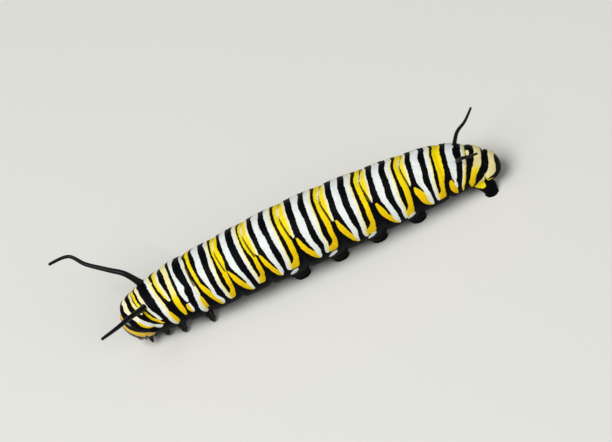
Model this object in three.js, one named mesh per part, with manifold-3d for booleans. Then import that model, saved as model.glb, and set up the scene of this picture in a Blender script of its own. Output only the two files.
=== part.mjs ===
// Monarch butterfly larva, fifth instar, life size, resting with all its feet on a flat floor.
// Millimetres, +Z up, the head towards -X, the larva's left side towards -Y.
// The trunk is one lofted form, parted by thin cuts into its thirteen segments.

import * as THREE from 'three';
import { mergeVertices } from 'three/addons/utils/BufferGeometryUtils.js';
import Module from 'manifold-3d';

const wasm = await Module();
wasm.setup();

// Driving dimensions.
const SEGMENT_GAP = 0.14;         // the thin cut between two segments
const ROOT_GAP = 0.12;            // between a limb or feeler and the segment it grows from
const SMALL_GAP = 0.06;           // between a small piece of the head and the capsule
const SIDE_SHARE = 1.02;          // half width of a section over its height above the axis
const BELLY_SHARE = 0.9;          // depth of a section below the axis over its height above it
const FOLD_DEPTH = 0.09;          // how far the skin folds in between two segments
const FLANK_FOLD_DEPTH = 0.2;     // the same fold's extra depth low on the flank
const FOLD_WIDTH = 0.09;          // half width of a fold, in segments
const FLANK_ANGLE = 1.95;         // how far down from the mid back the flank folds most
const FLANK_SPREAD = 0.5;
const SWELL = 0.025;              // how much a segment bulges between its folds
const RINGS = 9;                  // sections in one segment, closer together near its folds
const SIDES = 32;                 // points round a section
const ORIGIN = new THREE.Vector3(-2.68, -1.195, 0);  // where the middle of the whole footprint lies

// The folds between segments, from the neck to the tail end: distance along the trunk's
// level axis, sideways bend, height of the axis, and the skin's radius close by.
const FOLDS = [
  { x: -20.45, y: -1.18, z: 2.4, r: 1.8 },
  { x: -19.1, y: -1.2, z: 2.76, r: 2.4 },
  { x: -15.4, y: -1.18, z: 3.2, r: 3.02 },
  { x: -12.6, y: -1.17, z: 3.34, r: 3.22 },
  { x: -9.37, y: -1.17, z: 3.43, r: 3.35 },
  { x: -6.08, y: -1.17, z: 3.54, r: 3.48 },
  { x: -2.0, y: -1.16, z: 3.62, r: 3.56 },
  { x: 2.3, y: -1.16, z: 3.57, r: 3.52 },
  { x: 6.6, y: -1.15, z: 3.42, r: 3.36 },
  { x: 10.88, y: -1.13, z: 3.22, r: 3.1 },
  { x: 14.45, y: -1.2, z: 2.96, r: 2.78 },
  { x: 16.8, y: -1.5, z: 2.5, r: 2.24 },
  { x: 18.45, y: -1.88, z: 1.98, r: 1.64 },
  { x: 20.1, y: -2.25, z: 1.7, r: 0.6 },
];
// Where each fold cuts the skin, in segments from the neck: on the mid back and under the belly.
// The head hangs face down, so the first folds lean back towards the belly.
const CUTS = [
  { back: 0.25, belly: 1.35 }, { back: 1.14, belly: 1.95 }, { back: 2.06, belly: 2.25 },
  { back: 3.05, belly: 3.25 }, { back: 4.04, belly: 4.16 }, { back: 5.04, belly: 5.14 },
  { back: 6.02, belly: 6.12 }, { back: 7, belly: 7.1 }, { back: 8, belly: 8.08 },
  { back: 8.97, belly: 9.04 }, { back: 9.98, belly: 10.02 }, { back: 11, belly: 11 },
  { back: 12, belly: 12 }, { back: 13, belly: 13 },
];
const SEGMENTS = ['thorax_1', 'thorax_2', 'thorax_3', 'abdomen_1', 'abdomen_2', 'abdomen_3',
  'abdomen_4', 'abdomen_5', 'abdomen_6', 'abdomen_7', 'abdomen_8', 'abdomen_9', 'abdomen_10'];

const skin = (name, color, roughness = 0.5) =>
  new THREE.MeshStandardMaterial({ name, color, roughness, metalness: 0 });
const BLACK_SKIN = skin('black_skin', '#15131a');
const YELLOW_SKIN = skin('yellow_skin', '#f0d21e');
const WHITE_SKIN = skin('white_skin', '#e9ebe2');
const HORN = skin('horn', '#100f12', 0.3);
const LENS = skin('lens', '#0a0a0c', 0.1);

const root = new THREE.Group();

// Turns a closed geometry into a manifold-3d solid, with its faces pointing out.
function toSolid(geometry) {
  const bare = geometry.clone();
  bare.deleteAttribute('normal');
  bare.deleteAttribute('uv');
  const merged = mergeVertices(bare, 1e-4);
  const vertProperties = new Float32Array(merged.attributes.position.array);
  const make = (faces) => new wasm.Manifold(new wasm.Mesh({
    numProp: 3,
    vertProperties,
    triVerts: new Uint32Array(faces),
  }));
  const made = make(merged.index.array);
  return made.volume() > 0 ? made : make([...merged.index.array].reverse());
}

// Keeps the largest closed surface of a solid and gives it back as a geometry.
function toGeometry(solid) {
  const largest = solid.decompose().reduce((a, b) => (a.volume() > b.volume() ? a : b));
  const mesh = largest.getMesh();
  const geometry = new THREE.BufferGeometry();
  geometry.setAttribute('position', new THREE.BufferAttribute(mesh.vertProperties, 3));
  geometry.setIndex(new THREE.BufferAttribute(mesh.triVerts, 1));
  return geometry;
}

function addNode(name, geometry, material) {
  const mesh = new THREE.Mesh(geometry, material);
  mesh.name = name;
  root.add(mesh);
  return mesh;
}

// A closed skin over a row of equal rings of points, with a fan over each end.
function loft(rings) {
  const sides = rings[0].length;
  const points = rings.flat();
  const faces = [];
  for (let i = 0; i < rings.length - 1; i += 1) {
    for (let j = 0; j < sides; j += 1) {
      const a = i * sides + j;
      const b = i * sides + ((j + 1) % sides);
      faces.push(a, b, a + sides, b, b + sides, a + sides);
    }
  }
  for (const [ring, flip] of [[0, true], [rings.length - 1, false]]) {
    const middle = new THREE.Vector3();
    rings[ring].forEach((p) => middle.addScaledVector(p, 1 / sides));
    const centre = points.push(middle) - 1;
    for (let j = 0; j < sides; j += 1) {
      const a = ring * sides + j;
      const b = ring * sides + ((j + 1) % sides);
      faces.push(centre, flip ? b : a, flip ? a : b);
    }
  }
  const geometry = new THREE.BufferGeometry().setFromPoints(points);
  geometry.setIndex(faces);
  return geometry;
}

// The trunk's axis as one smooth curve through the folds' centres.
const axis = new THREE.CatmullRomCurve3(FOLDS.map((f) => new THREE.Vector3(f.x, f.y, f.z)));
const FOLD_COUNT = FOLDS.length - 1;

// The skin's radius at a place along the trunk, counted in segments from the neck.
function radiusAt(place) {
  const i = Math.min(Math.floor(place), FOLD_COUNT - 1);
  const t = place - i;
  const at = (k) => FOLDS[Math.max(0, Math.min(FOLD_COUNT, k))].r;
  const [a, b, c, d] = [at(i - 1), at(i), at(i + 1), at(i + 2)];
  return b + 0.5 * t * (c - a + t * (2 * a - 5 * b + 4 * c - d + t * (3 * (b - c) + d - a)));
}

// The axis, the sideways direction and the upward direction of the section at a place.
function sectionFrame(place) {
  const u = place / FOLD_COUNT;
  const centre = axis.getPoint(u);
  const along = axis.getTangent(u);
  const side = new THREE.Vector3(0, 0, 1).cross(along).normalize();
  const up = along.clone().cross(side);
  return { centre, along, side, up };
}

// Where the fold of that number crosses the skin at an angle from the mid back.
function cutPlace(number, angle) {
  const { back, belly } = CUTS[number];
  return back + (belly - back) * 0.5 * (1 - Math.cos(angle));
}

// A point on the skin: angle 0 is the middle of the back, a quarter turn is the right flank.
function skinPoint(place, angle, offset = 0) {
  const { centre, side, up } = sectionFrame(place);
  const next = CUTS.findIndex((_, k) => k > 0 && (cutPlace(k, angle) > place || k === FOLD_COUNT));
  const behind = place - cutPlace(next - 1, angle);
  const ahead = cutPlace(next, angle) - place;
  const foldBehind = next > 1 ? Math.exp(-((behind / FOLD_WIDTH) ** 2)) : 0;
  const foldAhead = next < FOLD_COUNT ? Math.exp(-((ahead / FOLD_WIDTH) ** 2)) : 0;
  const flank = Math.exp(-(((Math.abs(angle) - FLANK_ANGLE) / FLANK_SPREAD) ** 2));
  const depth = Math.max(foldBehind, foldAhead) * (FOLD_DEPTH + FLANK_FOLD_DEPTH * flank);
  const share = Math.max(0, Math.min(1, behind / (behind + ahead)));
  const swell = SWELL * radiusAt(place) * Math.sin(Math.PI * share);
  const r = radiusAt(place) + swell - depth + offset;
  const rise = Math.cos(angle);
  return centre.clone()
    .addScaledVector(side, r * SIDE_SHARE * Math.sin(angle))
    .addScaledVector(up, r * (rise > 0 ? rise : BELLY_SHARE * rise));
}

// A ring of points round the skin, at a place that may change with the angle.
function skinRing(placeAt, offset) {
  return Array.from({ length: SIDES }, (_, j) => {
    const turn = (j / SIDES) * 2 * Math.PI;
    const angle = turn > Math.PI ? turn - 2 * Math.PI : turn;
    return skinPoint(placeAt(angle), angle, offset);
  });
}

// The length of trunk between two folds, less half a gap at each, as a closed geometry.
function segmentPiece(index, gap) {
  const inset = gap / 2 / (FOLDS[index + 1].x - FOLDS[index].x);
  return loft(Array.from({ length: RINGS }, (_, i) => {
    const t = 0.5 - 0.5 * Math.cos((Math.PI * i) / (RINGS - 1));
    return skinRing((angle) => {
      const from = cutPlace(index, angle) + inset;
      const to = cutPlace(index + 1, angle) - inset;
      return from + (to - from) * t;
    }, 0);
  }));
}

const TAIL_WEDGE = 1.7;           // the higher, the blunter the tail end
const TAIL_DROOP = 0.25;          // how far the tail end hangs, over its length
const TAIL_OVERHANG = 0.12;       // how far the anal plate reaches past the underside
const TAIL_END_HEIGHT = 0.1;

// The rounded tail end closes over the anal plate.
function tailPiece(from, offset = 0) {
  const bulge = [0, 0.22, 0.42, 0.6, 0.75, 0.87, 0.95, 1];
  const { along, side, up } = sectionFrame(FOLD_COUNT - 1);
  const length = FOLDS[FOLD_COUNT].x - FOLDS[FOLD_COUNT - 1].x + offset;
  const base = skinRing(() => from, offset);
  const middle = new THREE.Vector3();
  base.forEach((p) => middle.addScaledVector(p, 1 / base.length));
  return loft(bulge.map((b) => {
    const shrink = Math.sqrt(Math.max(0.06, 1 - b ** TAIL_WEDGE));
    return base.map((p) => {
      const out = p.clone().sub(middle);
      const rise = out.dot(up);
      const wide = out.dot(side);
      const droop = -TAIL_DROOP * b * b * length;
      return middle.clone()
        .addScaledVector(along, b * length + TAIL_OVERHANG * rise * b)
        .addScaledVector(side, wide * shrink)
        .addScaledVector(up, rise * shrink + droop + TAIL_END_HEIGHT * b * rise);
    });
  }));
}

// A tapered tube of round sections along a path, closed at both ends.
function taperedTube(points, radii, sides, squash = 1) {
  const path = new THREE.CatmullRomCurve3(points);
  const steps = radii.length - 1;
  const frames = path.computeFrenetFrames(steps, false);
  return loft(radii.map((r, i) => {
    const centre = path.getPointAt(i / steps);
    return Array.from({ length: sides }, (_, j) => {
      const a = (j / sides) * 2 * Math.PI;
      return centre.clone()
        .addScaledVector(frames.normals[i], r * Math.cos(a))
        .addScaledVector(frames.binormals[i], r * squash * Math.sin(a));
    });
  }));
}

// Radii that fall smoothly from a root to a tip with a rounded end.
function taper(rootRadius, tipRadius, steps, ease = 0.8) {
  const radii = [];
  for (let i = 0; i < steps; i += 1) {
    const t = i / (steps - 1);
    radii.push(rootRadius + (tipRadius - rootRadius) * t ** ease);
  }
  radii[steps - 1] = tipRadius * 0.45;
  return radii;
}

// Everything below the floor, which feet are cut flat by.
const floorBox = new THREE.BoxGeometry(80, 40, 4);
floorBox.translate(0, 0, -2);
const BELOW_FLOOR = toSolid(floorBox);

// Head: a capsule with two cheeks, a groove down the crown and a flatter face, nodded forward.
const HEAD = {
  centre: new THREE.Vector3(-19.64, -1.76, 2.32),
  depth: 1.4, width: 1.93, height: 2.2,
  groove: 0.1, nod: THREE.MathUtils.degToRad(-35),
};
const TILT = new THREE.Vector3(0, 1, 0);

// From the head's own axes (x back from the face, z from the mouth to the crown) to the model's.
const fromHead = (x, y, z) =>
  new THREE.Vector3(x, y, z).applyAxisAngle(TILT, HEAD.nod).add(HEAD.centre);

// A point on the capsule: lat runs from the crown to the mouth, lon is 0 at the middle of the
// face and a quarter turn at the left cheek.
function headPoint(lat, lon, offset = 0) {
  const front = Math.cos(lon) * Math.sin(lat);
  const side = Math.sin(lon) * Math.sin(lat);
  const up = Math.cos(lat);
  const crown = Math.exp(-((side / 0.2) ** 2)) * Math.max(0, up + 0.3) / 1.3;
  const r = 1 - HEAD.groove * crown;
  const jaw = up < 0 ? 1 + 0.1 * up : 1;
  const flat = front > 0 ? 0.92 : 1;
  return fromHead(
    -(HEAD.depth * flat + offset) * front * r,
    -(HEAD.width * jaw + offset) * side * r,
    (HEAD.height + offset) * up * r,
  );
}

function headShell(offset) {
  const rows = 16;
  const columns = 28;
  return loft(Array.from({ length: rows - 1 }, (_, i) =>
    Array.from({ length: columns }, (_, j) =>
      headPoint(((i + 1) / rows) * Math.PI, (j / columns) * 2 * Math.PI, offset))));
}

// The trunk and the head, each grown a little, that smaller pieces are cut back from.
const CUTTER_RINGS = 8;           // in one segment
const TRUNK_CUTTER = toSolid(loft(Array.from({ length: (FOLD_COUNT - 1) * CUTTER_RINGS + 1 },
  (_, i) => skinRing((angle) => {
    const first = cutPlace(0, angle);
    return first + (FOLD_COUNT - 1 - first) * (i / CUTTER_RINGS / (FOLD_COUNT - 1));
  }, ROOT_GAP))));
const HEAD_CUTTER = toSolid(headShell(SMALL_GAP));
const NECK_CUTTER = toSolid(headShell(ROOT_GAP));

const SEGMENT_SKIN = [BLACK_SKIN, WHITE_SKIN, YELLOW_SKIN];

function buildTrunk() {
  SEGMENTS.slice(0, -1).forEach((name, index) => {
    let solid = toSolid(segmentPiece(index, SEGMENT_GAP));
    if (index === 0) {
      solid = solid.subtract(NECK_CUTTER);
    }
    addNode(name, toGeometry(solid), SEGMENT_SKIN[(index + 1) % SEGMENT_SKIN.length]);
  });
  const inset = SEGMENT_GAP / 2 / (FOLDS[FOLD_COUNT].x - FOLDS[FOLD_COUNT - 1].x);
  const tail = tailPiece(FOLD_COUNT - 1 + inset);
  addNode(SEGMENTS.at(-1), toGeometry(toSolid(tail)), BLACK_SKIN);
}

// A soft ball, stretched along the head's three axes.
function ball(centre, sx, sy, sz, sides = 12) {
  const geometry = new THREE.SphereGeometry(1, sides, Math.round(sides * 0.7));
  geometry.scale(sx, sy, sz);
  geometry.rotateY(HEAD.nod);
  geometry.translate(centre.x, centre.y, centre.z);
  return toSolid(geometry);
}

// Where the antennae stand on the capsule, and how far they are sunk in it and stand out of it.
const ANTENNA = {
  lat: 2.2, lon: 1.12, sunk: 0.2, reach: 0.55,
  radii: [0.27, 0.27, 0.25, 0.21, 0.2, 0.12],
};

const SPINNERET = [[-0.1, 0, -1.95], [-0.19, 0, -2.18], [-0.3, 0, -2.38]];

function buildHead() {
  addNode('head', toGeometry(toSolid(headShell(0))), HORN);
  // labrum in front, a mandible on each side, and the labium with its spinneret behind
  const mouth = [
    ball(fromHead(-0.8, 0, -1.8), 0.32, 0.6, 0.3),
    ball(fromHead(-0.56, -0.45, -1.92), 0.4, 0.36, 0.32),
    ball(fromHead(-0.56, 0.45, -1.92), 0.4, 0.36, 0.32),
    ball(fromHead(-0.02, 0, -2.08), 0.45, 0.55, 0.3),
    toSolid(taperedTube(SPINNERET.map((p) => fromHead(...p)), taper(0.25, 0.15, 5), 8)),
  ].reduce((a, b) => a.add(b)).subtract(HEAD_CUTTER).subtract(BELOW_FLOOR);
  addNode('mouthparts', toGeometry(mouth), HORN);
  for (const [side, name] of [[1, 'left'], [-1, 'right']]) {
    const foot = headPoint(ANTENNA.lat, side * ANTENNA.lon, -ANTENNA.sunk);
    const tip = headPoint(ANTENNA.lat, side * ANTENNA.lon, ANTENNA.reach);
    const middle = foot.clone().lerp(tip, 0.5);
    const antenna = toSolid(taperedTube([foot, middle, tip], ANTENNA.radii, 8));
    addNode(`antenna_${name}`, toGeometry(antenna.subtract(HEAD_CUTTER).subtract(mouth)), HORN);
  }
}

// Six simple eyes on each cheek: five in an arc and one behind the mouth corner.
const EYES = [[1.42, 1.3], [1.56, 1.1], [1.74, 0.98], [1.92, 1.1], [1.98, 1.4], [1.72, 1.6]];
const EYE_RADIUS = 0.15;
const EYE_RISE = 0.03;            // how far an eye's middle lies above the capsule

function buildEyes() {
  for (const [side, name] of [[1, 'left'], [-1, 'right']]) {
    EYES.forEach(([lat, lon], i) => {
      const centre = headPoint(lat, side * lon, EYE_RISE);
      const eye = ball(centre, EYE_RADIUS, EYE_RADIUS, EYE_RADIUS, 10).subtract(HEAD_CUTTER);
      addNode(`eye_${name}_${i + 1}`, toGeometry(eye), LENS);
    });
  }
}

// Fleshy feelers: two long ones on the second segment, two short ones on the eighth of the
// abdomen. Each way point is a step from the root, in millimetres.
const FEELERS = [
  { name: 'feeler_front_right', place: 1.42, angle: 0.55, radii: [0.42, 0.2], steps: 22,
    way: [[-0.7, 0.75, 1.32], [-2.3, 1.94, 1.82], [-4.2, 3.4, 2.35], [-5.6, 4.85, 2.9],
      [-7.7, 4.6, 3.3]] },
  { name: 'feeler_front_left', place: 1.42, angle: -0.55, radii: [0.42, 0.2], steps: 15,
    way: [[-1.2, -1.75, 1.4], [-2.65, -3.4, 2.6], [-4.0, -5.05, 3.95]] },
  { name: 'feeler_rear_right', place: 10.57, angle: 0.5, radii: [0.34, 0.16], steps: 11,
    way: [[0.9, 0.1, 1.2], [2.15, 0.2, 2.15], [3.3, 0.57, 3.2]] },
  { name: 'feeler_rear_left', place: 10.57, angle: -0.4, radii: [0.34, 0.16], steps: 11,
    way: [[0.6, -0.75, 0.85], [1.5, -1.55, 1.55], [2.35, -2.3, 2.3]] },
];
const FEELER_SIDES = 10;
const ROOT_DEPTH = 0.6;

function buildFeelers() {
  for (const { name, place, angle, radii, steps, way } of FEELERS) {
    const foot = skinPoint(place, angle);
    const sunk = skinPoint(place, angle, -ROOT_DEPTH);
    const points = [sunk, ...way.map((w) => foot.clone().add(new THREE.Vector3(...w)))];
    const solid = toSolid(taperedTube(points, taper(radii[0], radii[1], steps), FEELER_SIDES));
    addNode(name, toGeometry(solid.subtract(TRUNK_CUTTER)), BLACK_SKIN);
  }
}

// Jointed legs of the thorax: coxa, femur, tibia and a claw, each bulging a little. The reach
// is how far the foot stands out past the hip, and the step how far it stands behind it.
const LEGS = [
  { number: 1, place: 1.36, reach: 0.2, step: 0.1, size: 0.5 },
  { number: 2, place: 1.8, reach: 0.55, step: 0.1, size: 0.56 },
  { number: 3, place: 2.88, reach: 0.75, step: 0.2, size: 0.58 },
];
const LEG_ANGLE = 2.5;
const LEG_DEPTH = 0.7;            // how deep its root is sunk in the trunk before it is cut back
const LEG_HIP = 0.1;              // how far the hip stands out of the skin
const LEG_KNEE = new THREE.Vector3(0.05, 0.2, 0.05);  // the knee's bend: back, out and up
const CLAW_DEPTH = 0.12;          // how far the claw's end is cut off by the floor
const LEG_RADII = [1, 1, 0.96, 0.86, 0.9, 0.68, 0.56, 0.58, 0.36, 0.24];
const LEG_SIDES = 10;

function buildLegs() {
  for (const { number, place, reach, step, size } of LEGS) {
    for (const [side, name] of [[-1, 'left'], [1, 'right']]) {
      const sunk = skinPoint(place, side * LEG_ANGLE, -LEG_DEPTH);
      const hip = skinPoint(place, side * LEG_ANGLE, LEG_HIP);
      const foot = new THREE.Vector3(hip.x + step, hip.y + side * reach, -CLAW_DEPTH);
      const bend = new THREE.Vector3(1, side, 1).multiply(LEG_KNEE);
      const knee = hip.clone().lerp(foot, 0.5).add(bend);
      const radii = LEG_RADII.map((r) => r * size);
      const solid = toSolid(taperedTube([sunk, hip, knee, foot], radii, LEG_SIDES))
        .subtract(TRUNK_CUTTER).subtract(NECK_CUTTER).subtract(BELOW_FLOOR);
      addNode(`leg_${number}_${name}`, toGeometry(solid), HORN);
    }
  }
}

// Fleshy prolegs: a broad root, a narrower ankle and a flat foot pad, all longer fore and aft.
const PROLEG_PROFILE = [
  // height share, half length, half width
  [1, 1.15, 0.85], [0.72, 1.12, 0.86], [0.5, 1.0, 0.8], [0.3, 0.84, 0.68],
  [0.17, 0.78, 0.62], [0.09, 0.86, 0.68], [0, 0.9, 0.7],
];
const PROLEG_SIDES = 16;

function prolegShape(top, foot, size) {
  return loft(PROLEG_PROFILE.map(([share, long, wide]) => {
    const centre = foot.clone().lerp(top, share);
    return Array.from({ length: PROLEG_SIDES }, (_, j) => {
      const a = (-j / PROLEG_SIDES) * 2 * Math.PI;
      return new THREE.Vector3(
        centre.x + size * long * Math.cos(a),
        centre.y + size * wide * Math.sin(a),
        centre.z,
      );
    });
  }).reverse());
}

const PROLEG_PLACE = 0.83;        // how far back along its segment a proleg stands
const PROLEG_ANGLE = 2.5;
const PROLEG_SPREAD = 0.05;       // how far the foot stands out past the root
const PROLEG_STEP = 0.12;         // and behind it
const PROLEG_DEPTH = 0.5;         // how deep the root is sunk in the trunk before it is cut back

function buildProlegs() {
  for (const segment of [3, 4, 5, 6]) {
    for (const [side, name] of [[-1, 'left'], [1, 'right']]) {
      const top = skinPoint(segment + 2 + PROLEG_PLACE, side * PROLEG_ANGLE, -PROLEG_DEPTH);
      const foot = new THREE.Vector3(top.x + PROLEG_STEP, top.y + side * PROLEG_SPREAD, 0);
      const solid = toSolid(prolegShape(top, foot, 1)).subtract(TRUNK_CUTTER);
      addNode(`proleg_${segment}_${name}`, toGeometry(solid), BLACK_SKIN);
    }
  }
}

// The last pair of prolegs stands splayed under the tail end.
const TAIL_PROLEG = {
  place: 11.65, rootOut: 1.1, rootHeight: 1.9, footOut: 2.1, step: 0.15, size: 0.85,
};

function buildTailProlegs() {
  const tailCutter = toSolid(tailPiece(FOLD_COUNT - 1, ROOT_GAP));
  for (const [side, name] of [[-1, 'left'], [1, 'right']]) {
    const { place, rootOut, rootHeight, footOut, step, size } = TAIL_PROLEG;
    const { centre } = sectionFrame(place);
    const top = new THREE.Vector3(centre.x, centre.y + side * rootOut, rootHeight);
    const foot = new THREE.Vector3(centre.x + step, centre.y + side * footOut, 0);
    const solid = toSolid(prolegShape(top, foot, size))
      .subtract(TRUNK_CUTTER).subtract(tailCutter);
    addNode(`tail_proleg_${name}`, toGeometry(solid), BLACK_SKIN);
  }
}

buildTrunk();
buildHead();
buildEyes();
buildFeelers();
buildLegs();
buildProlegs();
buildTailProlegs();
root.position.copy(ORIGIN).negate();

export default root;
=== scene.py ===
"""Monarch butterfly larva, fifth instar, life size, as a museum model resting on a flat floor.

Metres, +Z up, the head towards -X and the larva's left side towards -Y, in the frame's own axes.
Two numbers place a point of the skin: its place, which counts segments from the neck (0) to the
tail end (13), and its turn round the trunk in degrees, 0 in the middle of the back, 90 on the
left flank, 180 under the belly and negative on the right side.
"""

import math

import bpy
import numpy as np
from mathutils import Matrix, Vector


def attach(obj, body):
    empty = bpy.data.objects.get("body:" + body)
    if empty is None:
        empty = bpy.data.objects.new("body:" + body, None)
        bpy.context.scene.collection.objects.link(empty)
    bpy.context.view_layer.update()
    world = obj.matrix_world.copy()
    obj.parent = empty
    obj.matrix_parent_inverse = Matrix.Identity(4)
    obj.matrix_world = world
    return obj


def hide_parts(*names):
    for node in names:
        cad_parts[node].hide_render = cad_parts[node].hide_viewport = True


bl_info = {
    "name": "Monarch Larva Model",
    "version": (1, 0, 0),
    "blender": (4, 5, 0),
    "location": "3D View > Sidebar > Larva",
    "description": "Builds the skin, head, feelers and legs of a life-size monarch butterfly larva",
    "category": "Add Mesh",
}

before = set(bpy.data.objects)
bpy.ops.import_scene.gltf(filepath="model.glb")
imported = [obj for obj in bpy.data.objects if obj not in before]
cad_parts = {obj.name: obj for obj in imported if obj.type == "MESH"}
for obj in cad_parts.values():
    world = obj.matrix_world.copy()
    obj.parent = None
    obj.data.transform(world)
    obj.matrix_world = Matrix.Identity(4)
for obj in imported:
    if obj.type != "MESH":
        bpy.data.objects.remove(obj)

MM = 0.001
# The middle of the footprint, in the millimetres that the dimensions below are measured in.
ORIGIN = np.array([-2.68, -1.195, 0.0])

# The folds between segments, from the neck to the tail end: distance along the trunk, sideways
# bend, height of the axis, and the skin's radius there, in millimetres.
FOLDS = np.array([
    (-20.45, -1.18, 2.4, 1.8),
    (-19.1, -1.2, 2.76, 2.4),
    (-15.4, -1.18, 3.2, 3.02),
    (-12.6, -1.17, 3.34, 3.22),
    (-9.37, -1.17, 3.43, 3.35),
    (-6.08, -1.17, 3.54, 3.48),
    (-2.0, -1.16, 3.62, 3.56),
    (2.3, -1.16, 3.57, 3.52),
    (6.6, -1.15, 3.42, 3.36),
    (10.88, -1.13, 3.22, 3.1),
    (14.45, -1.2, 2.96, 2.78),
    (16.8, -1.5, 2.5, 2.24),
    (18.45, -1.88, 1.98, 1.64),
    (20.1, -2.25, 1.7, 0.6),
])
TAIL = len(FOLDS) - 2
END = len(FOLDS) - 1
TAIL_RINGS = 27         # rings of points from the last fold to the tail end
TAIL_REACH = 0.9999     # the share of the tail that the last ring reaches, just short of a point
SIDE_SHARE = 1.02       # half width of a section over its height above the axis
BELLY_SHARE = 0.9       # depth of a section below the axis over its height above it
SWELL = 0.025           # how much a segment bulges between its folds, over its radius
FOLD_WIDTH = 0.075      # half width of a fold, in segments
FOLD_DEPTH = 0.07       # its depth on the back, in millimetres, and what the low flank adds
FOLD_FLANK_DEPTH = 0.2
FLANK_TURN = 112.0      # where down the flank the folds are deepest, and how far that spreads
FLANK_SPREAD = 30.0
LINE_WIDTH = 0.022      # half width of a fold's sharp middle line and of the annulets' rings
LINE_DEPTH = 0.06
RING_DEPTH = 0.035
RING_SHARES = (0.19, 0.345, 0.5, 0.665, 0.815)   # where the annulets part, in segments past a fold
RING_PLACES = (2.9, 3.2, 10.2, 10.8)             # where the rings fade in and out along the trunk
RING_TURNS = (75, 105)                           # and where they fade out down the flank
TAIL_LENGTH = 1.65      # from the last fold to the tail end, in millimetres
TAIL_WEDGE = 1.7        # the higher, the blunter the tail end
TAIL_DROOP = 0.25       # how far the tail end hangs, over its length
TAIL_OVERHANG = 0.12    # how far its back leans over its belly
TAIL_PLUMP = 0.1        # how much it thickens before it closes
# Where the skin begins behind the head, on the mid back and under the belly, in segments, and
# over how many segments that slant fades away.
NECK = (0.25, 1.35)
NECK_FADE = 3.0
NECK_ROLL = 0.22        # over how many segments the front edge rolls in, and how far
NECK_PINCH = 0.6

# How far behind the left side's the right side's pattern lies, by place along the trunk: the
# larva's skin is slightly twisted. In segments. It has its full value from TWIST_TURN down.
TWIST_TURN = 30
BELLY_FADE = 40         # within how many degrees of the mid belly the twist fades
TWIST = np.array([
    (0.5, -0.1), (1.6, -0.13), (2.3, -0.08), (3.0, -0.1), (3.5, -0.01), (5.0, -0.02), (6.0, 0.0),
    (7.0, 0.05), (8.0, 0.075), (9.5, 0.1), (10.3, 0.05), (12.0, 0.0),
])
# Where a fold crosses the back, over its whole number, by place.
FOLD_LEAN = np.array([
    (1.0, 0.14), (2.0, 0.08), (3.0, 0.04), (4.0, 0.06), (5.0, 0.04), (6.0, 0.02), (7.0, 0.0),
    (8.0, 0.0), (9.0, -0.04), (10.0, -0.02), (11.0, 0.0), (12.0, 0.0),
])
# How far behind its crossing of the back a fold runs on the flank, by place. It is swept back
# fully at 60 degrees, and returns by SWEEP_RETURN between the turns in BELLY_TURNS.
SWEEP_TURN = 60
SWEEP_RETURN = 0.6
BELLY_TURNS = (100, 160)
FOLD_SWEEP = np.array([
    (1.0, 0.2), (2.0, 0.1), (3.0, 0.05), (4.0, 0.12), (5.0, 0.12), (6.0, 0.1), (8.0, 0.1),
    (9.0, 0.08), (10.0, 0.04), (11.0, 0.0), (12.0, 0.0),
])

# The light bands' colours by warmth, from the coldest to the warmest.
WHITE, CREAM, BUFF, YELLOW, GOLD = 0.0, 0.3, 0.42, 0.75, 1.0
BACK_ROUNDING = 8.0     # within how many degrees of the mid back the bands' bends are rounded
TINT_TURNS = (20, 75)   # between which a band goes from its back's warmth to its flank's
TINT_BLEND = 0.03       # over how many millimetres the warmths of touching bands blend
RIM_WIDTH = 0.19        # of the rear rims of some bands, in millimetres
YELLOW_RIM = -0.6       # what a rim adds to the warmth of a short yellow band on the back
WHITE_RIM = 0.56        # and to that of a segment's second white band
SHORT_TURN = 50         # a yellow band that ends above this turn is a short one
SECOND_SHARE = 0.6      # a white band that starts past this share of a segment is the second one
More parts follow.
